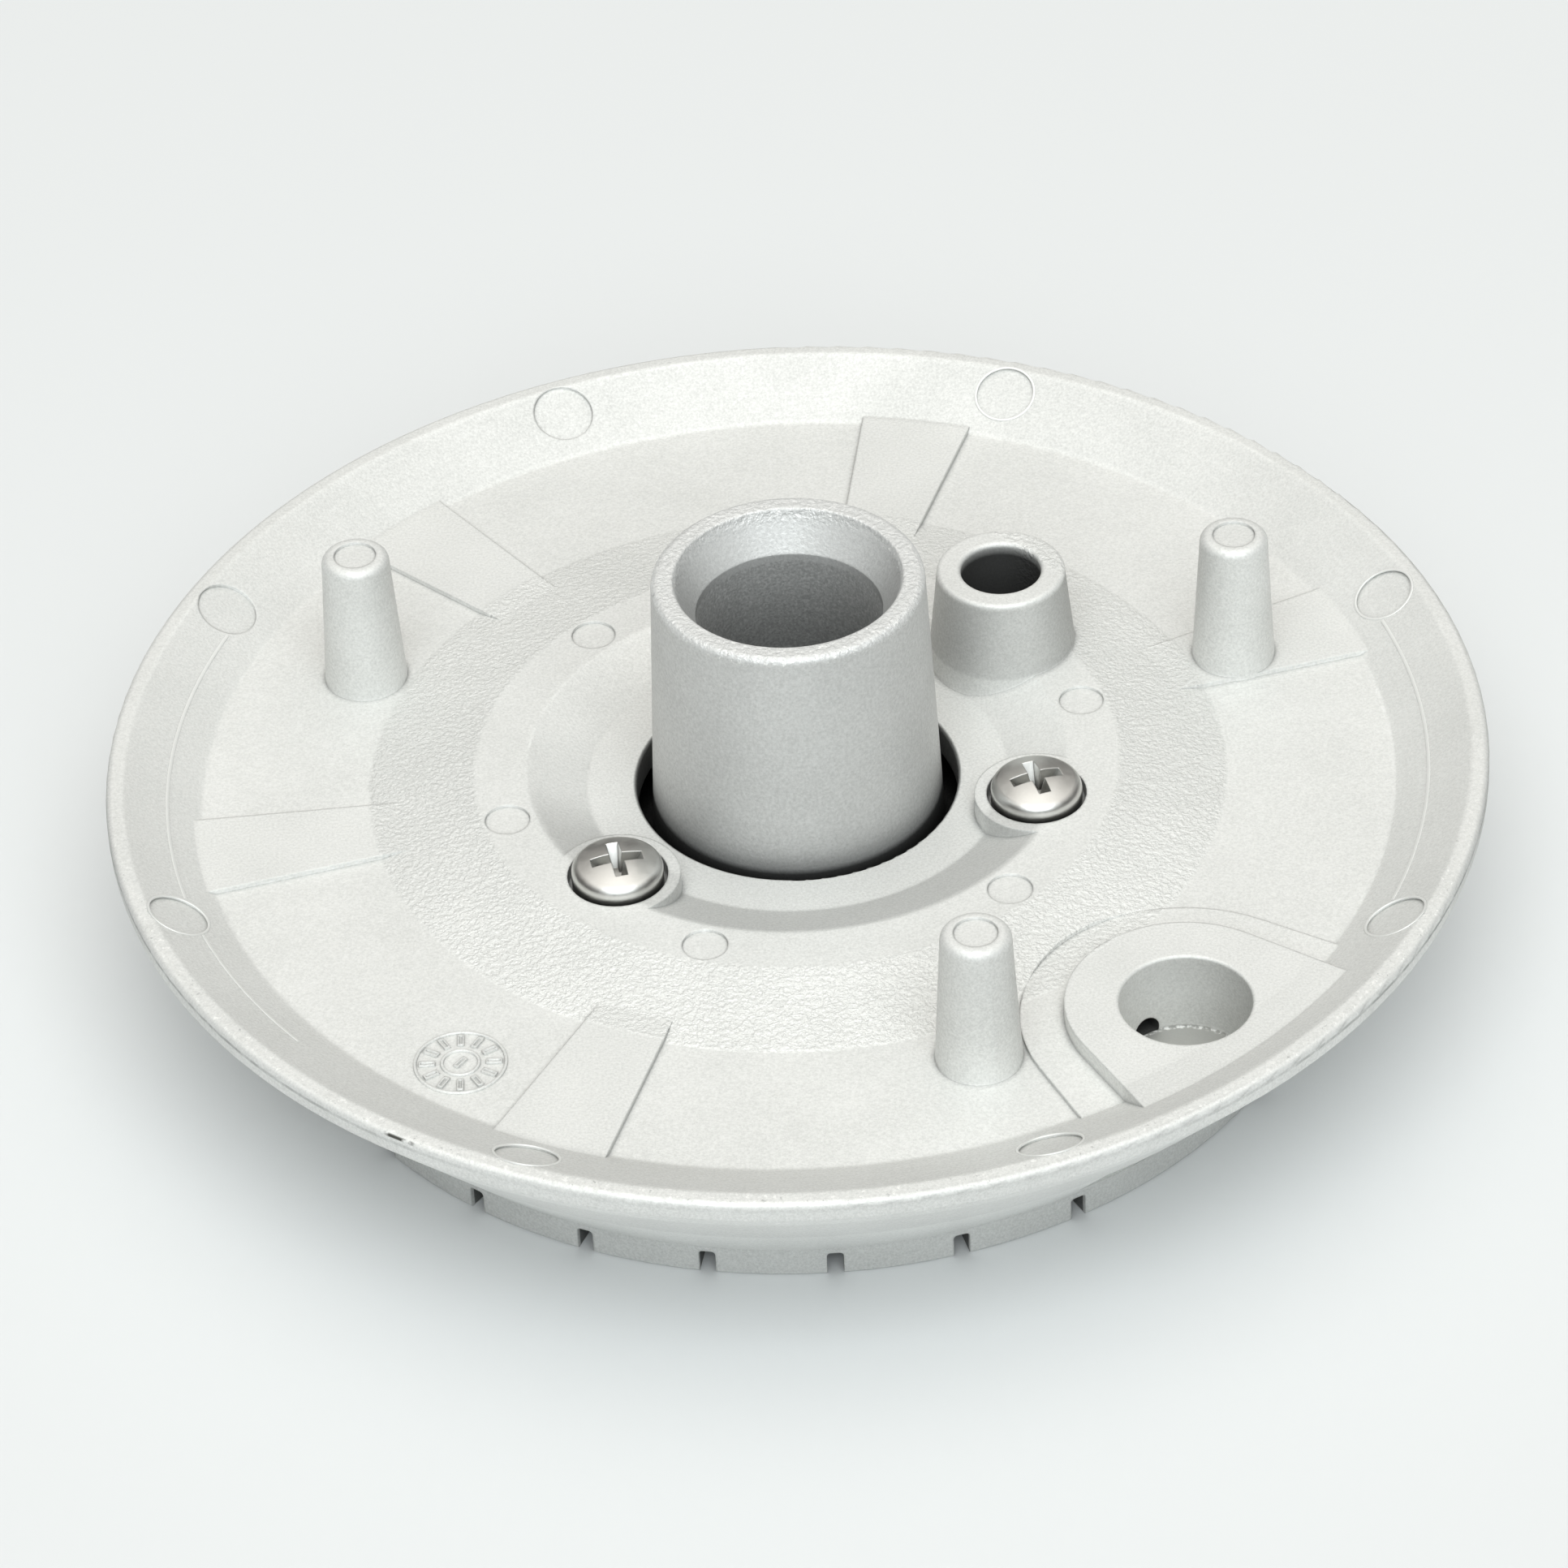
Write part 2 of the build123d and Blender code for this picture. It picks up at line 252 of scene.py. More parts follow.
# Nick in the near edge of the lip
nick_angle = -124.3
nick_distance = 59.3 * mm
nick_core = 1.19 * mm
nick_reach = 1.7 * mm
nick_low = 0.26 * mm
nick_high = 0.14 * mm
nick_fade = 0.08 * mm
nick_inward = 0.2 * mm
nick_scale = 800.0
nick_detail = 3.0
nick_span = (0.36, 0.44)
nick_colour = (0.08, 0.08, 0.07, 1.0)

# Thin flash of the die
flash_colour = (0.88, 0.885, 0.865, 1.0)
flash_roughness = 0.5

# Skin of the venturi tube, with painted shade down its bore, in the gap round its foot and low on its
# outside, and painted light and shade in its funnel
tube_metallic = 0.4
tube_grain_scale = 3600.0
tube_tones = ((0.66, 0.665, 0.655, 1.0), (0.83, 0.835, 0.825, 1.0))
tube_side_shade = 0.82
tube_corner_shade = 0.7
tube_roughness = (0.62, 0.44)
tube_bump = 0.5
tube_pebble = 0.3
brim_pebble = 1.5
brim_pebble_start = 1.3 * mm
brim_pebble_end = 0.4 * mm
brim_start = 0.9 * mm
brim_end = 0.5 * mm
brim_tone = 1.05
brim_chip_scale = 2200.0
tube_deep_reach = 20.0 * mm
tube_deep_span = (0.05, 0.44)
tube_deep_shade_tone = 0.15
tube_outside_fade = 0.3 * mm
tube_gap_clear = 0.7 * mm
tube_gap_fade = 0.6 * mm
tube_gap_shade_tone = 0.18
tube_foot_rise = 6.0 * mm
tube_foot_shade_tone = 0.74
funnel_clear = 0.6 * mm
funnel_fade = 0.3 * mm
mouth_fade = 0.2 * mm
mouth_turn_span = (0.0, 8.0 * mm)
mouth_light_tones = (0.72, 1.18)
throat_fade = 0.2 * mm
throat_scale = 4000.0
throat_detail = 2.0
throat_roughness = 0.6
throat_span = (0.4, 0.66)
throat_tones = (0.86, 1.2)

# Plated steel of the screws, with painted shade in the cross recess
screw_metallic = 1.0
screw_tones = ((0.62, 0.615, 0.59, 1.0), (0.8, 0.795, 0.77, 1.0))
screw_roughness = (0.3, 0.42)
smudge_scale = 900.0
smudge_detail = 4.0
smudge_roughness = 0.6
recess_shade_reach = 0.8 * mm
recess_shade_span = (0.25, 0.9)
recess_shade_tone = 0.22
screw_grain_scale = 3000.0
screw_grain_detail = 2.0
screw_grain_depth = 0.03 * mm
screw_bump = 0.15
screw_edge_round = 0.15 * mm

# Camera that took the photograph
image_width = 1932
focal_pixels = 8333.0
sensor_width = 36.0
camera_distance = 0.5876
camera_elevation = math.radians(38.26)
camera_roll = math.radians(2.80)
aim_pan_pixels = 16.9
aim_tilt_pixels = 52.9
camera_pan = math.atan(aim_pan_pixels / focal_pixels)
camera_tilt = math.atan(aim_tilt_pixels / focal_pixels)

# Floor and light
floor_size = 6.0
floor_colour = (0.770, 0.785, 0.790, 1.0)
floor_roughness = 1.0
floor_specular = 0.0
world_colour = (1.0, 0.975, 0.93, 1.0)
horizon_strength = 0.05
zenith_strength = 1.88
zenith_gather = 2.5
panel_size = 2.6
panel_place = Vector((0.12, -1.7, 1.9))
panel_colour = (0.90, 0.97, 1.0)
panel_power = 48.0


def polar(distance, angle, height):
    turn = math.radians(angle)
    return (distance * math.cos(turn), distance * math.sin(turn), height)


def band_height(radius):
    return floor_top + (radius - floor_outer_radius) * math.tan(band_slope)


def add_node(tree, kind, **settings):
    node = tree.nodes.new(kind)
    for name, value in settings.items():
        setattr(node, name, value)
    return node


def feed(tree, socket, value):
    if isinstance(value, bpy.types.NodeSocket):
        tree.links.new(value, socket)
    else:
        socket.default_value = value


def reckon(tree, operation, first, second=0.0):
    node = add_node(tree, "ShaderNodeMath", operation=operation)
    feed(tree, node.inputs[0], first)
    feed(tree, node.inputs[1], second)
    return node.outputs["Value"]


# Where all the masks hold at once
def overlap(tree, first, *others):
    mask = first
    for other in others:
        mask = reckon(tree, "MULTIPLY", mask, other)
    return mask


def spread(tree, value, low, high, start, end, smooth=False):
    node = add_node(tree, "ShaderNodeMapRange")
    node.interpolation_type = "SMOOTHSTEP" if smooth else "LINEAR"
    feed(tree, node.inputs["Value"], value)
    feed(tree, node.inputs["From Min"], low)
    feed(tree, node.inputs["From Max"], high)
    feed(tree, node.inputs["To Min"], start)
    feed(tree, node.inputs["To Max"], end)
    return node.outputs["Result"]


def rising(tree, value, low, high, smooth=False):
    return spread(tree, value, low, high, 0.0, 1.0, smooth)


def falling(tree, value, low, high, smooth=False):
    return spread(tree, value, low, high, 1.0, 0.0, smooth)


def noise(tree, vector, scale, detail, roughness=noise_roughness):
    node = add_node(tree, "ShaderNodeTexNoise")
    node.inputs["Detail"].default_value = detail
    node.inputs["Roughness"].default_value = roughness
    feed(tree, node.inputs["Scale"], scale)
    tree.links.new(vector, node.inputs["Vector"])
    return node.outputs["Fac"]


def openness(tree, reach):
    node = add_node(tree, "ShaderNodeAmbientOcclusion", samples=shade_samples)
    node.inputs["Distance"].default_value = reach
    return node.outputs["AO"]


def place_camera():
    level_side = Vector((1.0, 0.0, 0.0))
    level_up = Vector((0.0, math.sin(camera_elevation), math.cos(camera_elevation)))
    look = Vector((0.0, math.cos(camera_elevation), -math.sin(camera_elevation)))
    side = math.cos(camera_pan) * level_side + math.sin(camera_pan) * look
    panned = math.cos(camera_pan) * look - math.sin(camera_pan) * level_side
    rise = math.cos(camera_tilt) * level_up + math.sin(camera_tilt) * panned
    ahead = math.cos(camera_tilt) * panned - math.sin(camera_tilt) * level_up
    right = math.cos(camera_roll) * side - math.sin(camera_roll) * rise
    up = math.sin(camera_roll) * side + math.cos(camera_roll) * rise
    place = Vector((0.0, 0.0, lip_top)) - camera_distance * look
    lens = bpy.data.cameras.new("photo_camera")
    lens.sensor_width = sensor_width
    lens.lens = sensor_width * focal_pixels / image_width
    camera = bpy.data.objects.new("photo_camera", lens)
    turn = Matrix((right, up, -ahead)).transposed().to_4x4()
    camera.matrix_world = Matrix.Translation(place) @ turn
    scene.collection.objects.link(camera)
    scene.camera = camera


# Soft room, brightest overhead and dimmer to the left and right, and one large panel on the camera's side
def place_light():
    room = bpy.data.worlds.new("soft_room")
    scene.world = room
    room.use_nodes = True
    tree = room.node_tree
    backdrop = tree.nodes["Background"]
    backdrop.inputs["Color"].default_value = world_colour
    heading = add_node(tree, "ShaderNodeTexCoord")
    parts = add_node(tree, "ShaderNodeSeparateXYZ")
    tree.links.new(heading.outputs["Generated"], parts.inputs["Vector"])
    above = reckon(tree, "MAXIMUM", parts.outputs["Z"], 0.0)
    gathered = reckon(tree, "POWER", above, zenith_gather)
    aside = reckon(tree, "MULTIPLY", parts.outputs["X"], parts.outputs["X"])
    gathered = overlap(tree, gathered, reckon(tree, "SUBTRACT", 1.0, aside))
    strength = spread(tree, gathered, 0.0, 1.0, horizon_strength, zenith_strength)
    tree.links.new(strength, backdrop.inputs["Strength"])
    lamp = bpy.data.lights.new("camera_side_panel", "AREA")
    lamp.size = panel_size
    lamp.energy = panel_power
    lamp.color = panel_colour
    panel = bpy.data.objects.new("camera_side_panel", lamp)
    aim = (Vector((0.0, 0.0, lip_top)) - panel_place).to_track_quat("-Z", "Y")
    panel.matrix_world = Matrix.Translation(panel_place) @ aim.to_matrix().to_4x4()
    scene.collection.objects.link(panel)


def lay_floor():
    bpy.ops.object.select_all(action="DESELECT")
    bpy.ops.mesh.primitive_plane_add(size=floor_size)
    floor = bpy.context.object
    floor.name = "pale_floor"
    paint = bpy.data.materials.new("pale_floor")
    paint.use_nodes = True
    shader = paint.node_tree.nodes["Principled BSDF"]
    shader.inputs["Base Color"].default_value = floor_colour
    shader.inputs["Roughness"].default_value = floor_roughness
    shader.inputs["Specular IOR Level"].default_value = floor_specular
    floor.data.materials.append(paint)


def new_group(name, inputs, outputs):
    group = bpy.data.node_groups.new(name, "ShaderNodeTree")
    for socket in inputs:
        group.interface.new_socket(socket, in_out="INPUT", socket_type="NodeSocketFloat")
    for socket in outputs:
        group.interface.new_socket(socket, in_out="OUTPUT", socket_type="NodeSocketFloat")
    given = add_node(group, "NodeGroupInput")
    result = add_node(group, "NodeGroupOutput")
    return group, given.outputs, result.inputs


# Grain of a die-cast skin: fine sparkle, coarser pebbles where asked for, and broad cloudy tone
def cast_grain_group():
    group, given, result = new_group("cast_grain", ("Grain Scale", "Pebble"), ("Tone", "Height"))
    place = add_node(group, "ShaderNodeTexCoord").outputs["Object"]
    fine = noise(group, place, given["Grain Scale"], grain_detail, grain_roughness)
    lumps = noise(group, place, lump_scale, lump_detail, lump_roughness)
    clouds = noise(group, place, cloud_scale, cloud_detail)
    pebbles = overlap(group, rising(group, lumps, *lump_span, smooth=True), given["Pebble"])
    group.links.new(reckon(group, "ADD", fine, pebbles), result["Height"])
    speckle = spread(group, fine, *noise_span, -speckle_swing, speckle_swing)
    patches = spread(group, clouds, *noise_span, -cloud_swing, cloud_swing)
    both = reckon(group, "ADD", speckle, patches)
    group.links.new(reckon(group, "ADD", both, middle_tone), result["Tone"])
    return group


# Painted shade of a casting's shape: steep sides greyer and corners darker, with painted light in the
# corners that face the front
def cast_shade_group():
    group, given, result = new_group("cast_shade", ("Side Shade", "Corner Shade"), ("Shade",))
    place = add_node(group, "ShaderNodeTexCoord")
    parts = add_node(group, "ShaderNodeSeparateXYZ")
    group.links.new(place.outputs["Normal"], parts.inputs["Vector"])
    level = reckon(group, "ABSOLUTE", parts.outputs["Z"])
    tone = spread(group, level, *steep_span, given["Side Shade"], 1.0, smooth=True)
    # Painted light in corners that face the front, painted shade in all other corners
    edge = spread(group, parts.outputs["Y"], *front_span, front_corner_light, given["Corner Shade"])
    corner = spread(group, openness(group, corner_reach), *corner_span, edge, 1.0)
    group.links.new(reckon(group, "MULTIPLY", tone, corner), result["Shade"])
    return group


class Finish:
    """Nodes that every patterned finish starts from."""

    def __init__(self, name, metallic):
        self.paint = bpy.data.materials.new(name)
        self.paint.use_nodes = True
        self.tree = self.paint.node_tree
        self.shader = self.tree.nodes["Principled BSDF"]
        self.shader.inputs["Metallic"].default_value = metallic
        coords = add_node(self.tree, "ShaderNodeTexCoord")
        self.place = coords.outputs["Object"]
        parts = add_node(self.tree, "ShaderNodeSeparateXYZ")
        self.tree.links.new(self.place, parts.inputs["Vector"])
        self.across = parts.outputs["X"]
        self.along = parts.outputs["Y"]
        self.height = parts.outputs["Z"]
        self.radius = self.axis_distance(0.0, 0.0)

    def axis_distance(self, x, y):
        across = reckon(self.tree, "SUBTRACT", self.across, x)
        along = reckon(self.tree, "SUBTRACT", self.along, y)
        across_square = reckon(self.tree, "MULTIPLY", across, across)
        along_square = reckon(self.tree, "MULTIPLY", along, along)
        return reckon(self.tree, "SQRT", reckon(self.tree, "ADD", across_square, along_square))

    def distance_to(self, point):
        node = add_node(self.tree, "ShaderNodeVectorMath", operation="DISTANCE")
        self.tree.links.new(self.place, node.inputs[0])
        node.inputs[1].default_value = point
        return node.outputs["Value"]

    def between(self, value, low, high, fade):
        rise = rising(self.tree, value, low - fade, low)
        fall = falling(self.tree, value, high, high + fade)
        return overlap(self.tree, rise, fall)

    def blend(self, factor, first, second, mode="MIX"):
        node = add_node(self.tree, "ShaderNodeMix", data_type="RGBA", blend_type=mode)
        feed(self.tree, node.inputs["Factor"], factor)
        feed(self.tree, node.inputs["A"], first)
        feed(self.tree, node.inputs["B"], second)
        return node.outputs["Result"]

    # Colour times tone, all over
    def weigh(self, colour, tone):
        return self.blend(1.0, colour, tone, "MULTIPLY")

    # Colour times tone, only where the mask holds
    def tone_where(self, colour, mask, tone):
        return self.weigh(colour, spread(self.tree, mask, 0.0, 1.0, 1.0, tone))

    # Die-cast skin, which keeps its grain for the roughness and the bump
    def cast_skin(self, grain, pebble, grain_scale, tones):
        self.grain = add_node(self.tree, "ShaderNodeGroup", node_tree=grain)
        self.grain.inputs["Grain Scale"].default_value = grain_scale
        self.tree.links.new(pebble, self.grain.inputs["Pebble"])
        return self.blend(self.grain.outputs["Tone"], *tones)

    def cast_shade(self, colour, shade, side_shade, corner_shade):
        node = add_node(self.tree, "ShaderNodeGroup", node_tree=shade)
        node.inputs["Side Shade"].default_value = side_shade
        node.inputs["Corner Shade"].default_value = corner_shade
        return self.weigh(colour, node.outputs["Shade"])

    # Small bright and dark chips where an edge was trimmed
    def chip(self, colour, zone, scale):
        chips = noise(self.tree, self.place, scale, chip_detail, chip_roughness)
        bright = overlap(self.tree, zone, rising(self.tree, chips, *chip_bright_span))
        dark = overlap(self.tree, zone, falling(self.tree, chips, *chip_dark_span))
        colour = self.blend(bright, colour, chip_colour)
        return self.tone_where(colour, dark, chip_dark_tone)

    def soft_edges(self, round_radius):
        soft = add_node(self.tree, "ShaderNodeBevel", samples=edge_samples)
        soft.inputs["Radius"].default_value = round_radius
        return soft.outputs["Normal"]

    def bump(self, height, strength, distance, normal):
        node = add_node(self.tree, "ShaderNodeBump")
        self.tree.links.new(normal, node.inputs["Normal"])
        node.inputs["Strength"].default_value = strength
        node.inputs["Distance"].default_value = distance
        self.tree.links.new(height, node.inputs["Height"])
        self.tree.links.new(node.outputs["Normal"], self.shader.inputs["Normal"])

    def surface(self, colour, roughness):
        self.tree.links.new(colour, self.shader.inputs["Base Color"])
        self.tree.links.new(roughness, self.shader.inputs["Roughness"])


# Die-cast head, whose cone is pebbled and has painted shade making it a little greyer at its left and right
def head_finish(grain, shade):
    finish = Finish("head_casting", head_metallic)
    tree = finish.tree
    cone_start = plateau_radius + cone_margin
    cone_end = floor_inner_radius - cone_margin
    cone = finish.between(finish.radius, cone_start, cone_end, cone_fade)
    pebble = spread(tree, cone, 0.0, 1.0, head_pebble, cone_pebble)
    colour = finish.cast_skin(grain, pebble, head_grain_scale, head_tones)
    colour = finish.cast_shade(colour, shade, head_side_shade, head_corner_shade)
    # Painted shade: the cone turns greyer towards its left and right
    from_side = reckon(tree, "ABSOLUTE", finish.along)
    cone_shade = spread(tree, from_side, *cone_shade_span, *cone_shade_tones, smooth=True)
    colour = finish.tone_where(colour, cone, cone_shade)
    colour = add_rim_streaks(finish, colour)
    colour = add_crown_and_boss_shade(finish, colour)
    colour = add_hollow_shade(finish, colour)
    colour = add_bore_shade(finish, colour)
    colour = add_socket_floor_and_shade(finish, colour)
    colour = add_lip_chips(finish, colour)
    colour = add_lip_nick(finish, colour)
    finish.surface(colour, spread(tree, finish.grain.outputs["Tone"], 0.0, 1.0, *head_roughness))
    normal = round_lip(finish, finish.soft_edges(edge_round))
    finish.bump(finish.grain.outputs["Height"], head_bump, grain_depth, normal)
    return finish.paint


# True roundness of the lip's outer edge, which the mesh only follows in short flats
def round_lip(finish, normal):
    tree = finish.tree
    round_start = flange_radius - lip_round
    outward = reckon(tree, "SUBTRACT", finish.radius, round_start)
    outward = reckon(tree, "MAXIMUM", outward, 0.0)
    upward = reckon(tree, "SUBTRACT", finish.height, lip_top - lip_round)
    upward = reckon(tree, "MAXIMUM", upward, 0.0)
    share = reckon(tree, "DIVIDE", outward, finish.radius)
    turned = add_node(tree, "ShaderNodeCombineXYZ")
    tree.links.new(reckon(tree, "MULTIPLY", finish.across, share), turned.inputs["X"])
    tree.links.new(reckon(tree, "MULTIPLY", finish.along, share), turned.inputs["Y"])
    tree.links.new(upward, turned.inputs["Z"])
    unit = add_node(tree, "ShaderNodeVectorMath", operation="NORMALIZE")
    tree.links.new(turned.outputs["Vector"], unit.inputs[0])
    top = rising(tree, finish.radius, round_start - lip_blend, round_start)
    edge_bottom = lip_top - lip_edge_drop + lip_edge_clear
    side = rising(tree, finish.height, edge_bottom, edge_bottom + lip_blend)
    return finish.blend(overlap(tree, top, side), normal, unit.outputs["Vector"])


# Fine streaks round the rim band, which has painted shade making it a little greyer at its near and far
# ends
def add_rim_streaks(finish, colour):
    tree = finish.tree
    band_start = floor_outer_radius + band_margin
    band_end = lip_inner_radius - band_margin
    band = finish.between(finish.radius, band_start, band_end, band_fade)
    rings = add_node(tree, "ShaderNodeCombineXYZ")
    tree.links.new(finish.radius, rings.inputs["X"])
    lines = noise(tree, rings.outputs["Vector"], streak_scale, streak_detail)
    streaked = finish.weigh(colour, spread(tree, lines, *noise_span, streak_tone, 1.0))
    # Painted shade at the near and far ends of the band
    shaded_ends = rising(tree, reckon(tree, "ABSOLUTE", finish.along), *band_end_shade_span, smooth=True)
    streaked = finish.tone_where(streaked, shaded_ends, band_end_shade_tone)
    return finish.blend(band, colour, streaked)


# Painted shade: greyer tone on the crown and on the sides of the gas inlet boss, darkest on the boss's
# right
def add_crown_and_boss_shade(finish, colour):
    tree = finish.tree
    crown = falling(tree, finish.height, crown_top - crown_fade_below, crown_top + crown_fade_above)
    colour = finish.tone_where(colour, crown, crown_shade_tone)
    inlet = polar(inlet_distance, inlet_angle, inlet_top)
    away = finish.axis_distance(inlet[0], inlet[1])
    boss = falling(tree, away, boss_radius, boss_radius + boss_fade)
    side_start = plateau_top + boss_foot_clear
    side_end = inlet_top - boss_brim_clear
    side = finish.between(finish.height, side_start, side_end, boss_side_fade)
    turn_start = inlet[0] + boss_turn_start
    turn_end = inlet[0] + boss_turn_end
    tone = spread(tree, finish.across, turn_start, turn_end, *boss_shade_tones, smooth=True)
    return finish.tone_where(colour, overlap(tree, boss, side), tone)


# Painted shade: greyer tone on the near half of the sunken ring, stronger on its slope than on its floor
def add_hollow_shade(finish, colour):
    tree = finish.tree
    slope_end = hollow_radius - hollow_margin
    slope = finish.between(finish.radius, ring_radius + ring_margin, slope_end, hollow_fade)
    share = spread(tree, slope, 0.0, 1.0, hollow_floor_share, 1.0)
    hollow = falling(tree, finish.radius, slope_end, hollow_radius)
    near = falling(tree, finish.along, *hollow_near_span, smooth=True)
    return finish.tone_where(colour, overlap(tree, share, hollow, near), hollow_shade_tone)


# Painted shade in the gas inlet bore, the flame ports and the wall of the hole round the tube
def add_bore_shade(finish, colour):
    tree = finish.tree
    inlet = polar(inlet_distance, inlet_angle, inlet_top)
    away = finish.axis_distance(inlet[0], inlet[1])
    inside = falling(tree, away, inlet_bore_radius + inlet_shade_start, inlet_bore_radius + inlet_shade_end)
    below = falling(tree, finish.height, inlet_top - inlet_shade_depth, inlet_top - inlet_unshaded_depth)
    colour = finish.tone_where(colour, overlap(tree, inside, below), inlet_shade_tone)
    port_inner = crown_radius - crown_wall + port_inner_clear
    port_outer = crown_radius - port_outer_clear
    port_wall = finish.between(finish.radius, port_inner, port_outer, port_wall_fade)
    port_height = finish.between(finish.height, port_base, port_top + port_over, port_height_fade)
    colour = finish.tone_where(colour, overlap(tree, port_wall, port_height), port_shade_tone)
    hole_wall = falling(tree, finish.radius, hole_radius + hole_shade_start, hole_radius + hole_shade_end)
    return finish.tone_where(colour, hole_wall, hole_shade_tone)


# Igniter socket: painted light and shade making its wall paler on its left, grey floor with bright crumbs
# of flash, and painted shade darkening its gas passage
def add_socket_floor_and_shade(finish, colour):
    tree = finish.tree
    middle = polar(socket_distance, igniter_angle, socket_floor)
    away = finish.axis_distance(middle[0], middle[1])
    inside = falling(tree, away, socket_radius, socket_radius + socket_fade)
    floor_low = socket_floor - socket_floor_band
    floor_high = socket_floor + socket_floor_band
    low = finish.between(finish.height, floor_low, floor_high, socket_floor_fade)
    dark_floor = overlap(tree, inside, low)
    edge = rising(tree, away, socket_radius - crumb_start, socket_radius - crumb_end)
    crumbs = rising(tree, noise(tree, finish.place, crumb_scale, crumb_detail), *crumb_span)
    flash = overlap(tree, edge, crumbs, dark_floor)
    wall_low = socket_floor + socket_wall_start
    wall_high = socket_floor + socket_wall_end
    wall = finish.between(finish.height, wall_low, wall_high, socket_floor_fade)
    left = middle[0] - socket_radius
    right = middle[0] + socket_radius
    # Painted light on the wall's left, painted shade on its right
    wall_light = spread(tree, finish.across, left, right, *socket_wall_light_tones)
    colour = finish.tone_where(colour, overlap(tree, inside, wall), wall_light)
    colour = finish.blend(dark_floor, colour, socket_floor_colour)
    colour = finish.blend(flash, colour, crumb_colour)
    # Painted shade in the gas passage
    tunnel_start = socket_radius + passage_clear
    tunnel = finish.between(away, tunnel_start, socket_radius + passage_length, passage_clear)
    inward_start = socket_distance - passage_inward_start
    inward = falling(tree, finish.radius, inward_start, socket_distance - passage_inward_end)
    tall = finish.between(finish.height, floor_low, socket_floor + passage_height, passage_clear)
    return finish.tone_where(colour, overlap(tree, tunnel, inward, tall), passage_shade_tone)


# Bright and dark chips along the near half of the lip, painted shade greying its outer edge at its sides,
# and a torn trim line that painted shade darkens to the left and right
def add_lip_chips(finish, colour):
    tree = finish.tree
    lip = finish.between(finish.radius, lip_inner_radius, flange_radius - lip_chip_clear, lip_chip_fade)
    near = falling(tree, finish.along, *lip_near_span)
    colour = finish.chip(colour, overlap(tree, lip, near), lip_chip_scale)
    outer = rising(tree, finish.radius, flange_radius - lip_outer_start, flange_radius - lip_outer_end)
    across = reckon(tree, "ABSOLUTE", finish.across)
    aside = rising(tree, across, *lip_aside_span)
    # Painted shade on the lip's outer edge at its left and right
    colour = finish.tone_where(colour, overlap(tree, outer, aside), lip_aside_shade_tone)
    # Trim line, made stronger towards the left and right by painted shade
    line = finish.between(finish.height, lip_top - trim_low, lip_top - trim_high, trim_fade)
    share = spread(tree, across, *trim_aside_shade_span, trim_least_share, 1.0)
    tears = noise(tree, finish.place, torn_scale, torn_detail, torn_roughness)
    torn = spread(tree, tears, *torn_span, torn_least_share, 1.0)
    return finish.tone_where(colour, overlap(tree, line, share, torn, outer), trim_tone)


# Scuffed nick along the near edge of the lip
def add_lip_nick(finish, colour):
    tree = finish.tree
    away = finish.distance_to(polar(nick_distance, nick_angle, lip_top))
    close = falling(tree, away, nick_core, nick_reach)
    edge = finish.between(finish.height, lip_top - nick_low, lip_top - nick_high, nick_fade)
    outer = rising(tree, finish.radius, nick_distance - nick_inward, nick_distance)
    scratches = rising(tree, noise(tree, finish.place, nick_scale, nick_detail), *nick_span)
    return finish.blend(overlap(tree, close, edge, outer, scratches), colour, nick_colour)


# Thin flash left by the die, brighter than the skin round it
def flash_finish():
    paint = bpy.data.materials.new("die_flash")
    paint.use_nodes = True
    shader = paint.node_tree.nodes["Principled BSDF"]
    shader.inputs["Metallic"].default_value = head_metallic
    shader.inputs["Base Color"].default_value = flash_colour
    shader.inputs["Roughness"].default_value = flash_roughness
    return paint


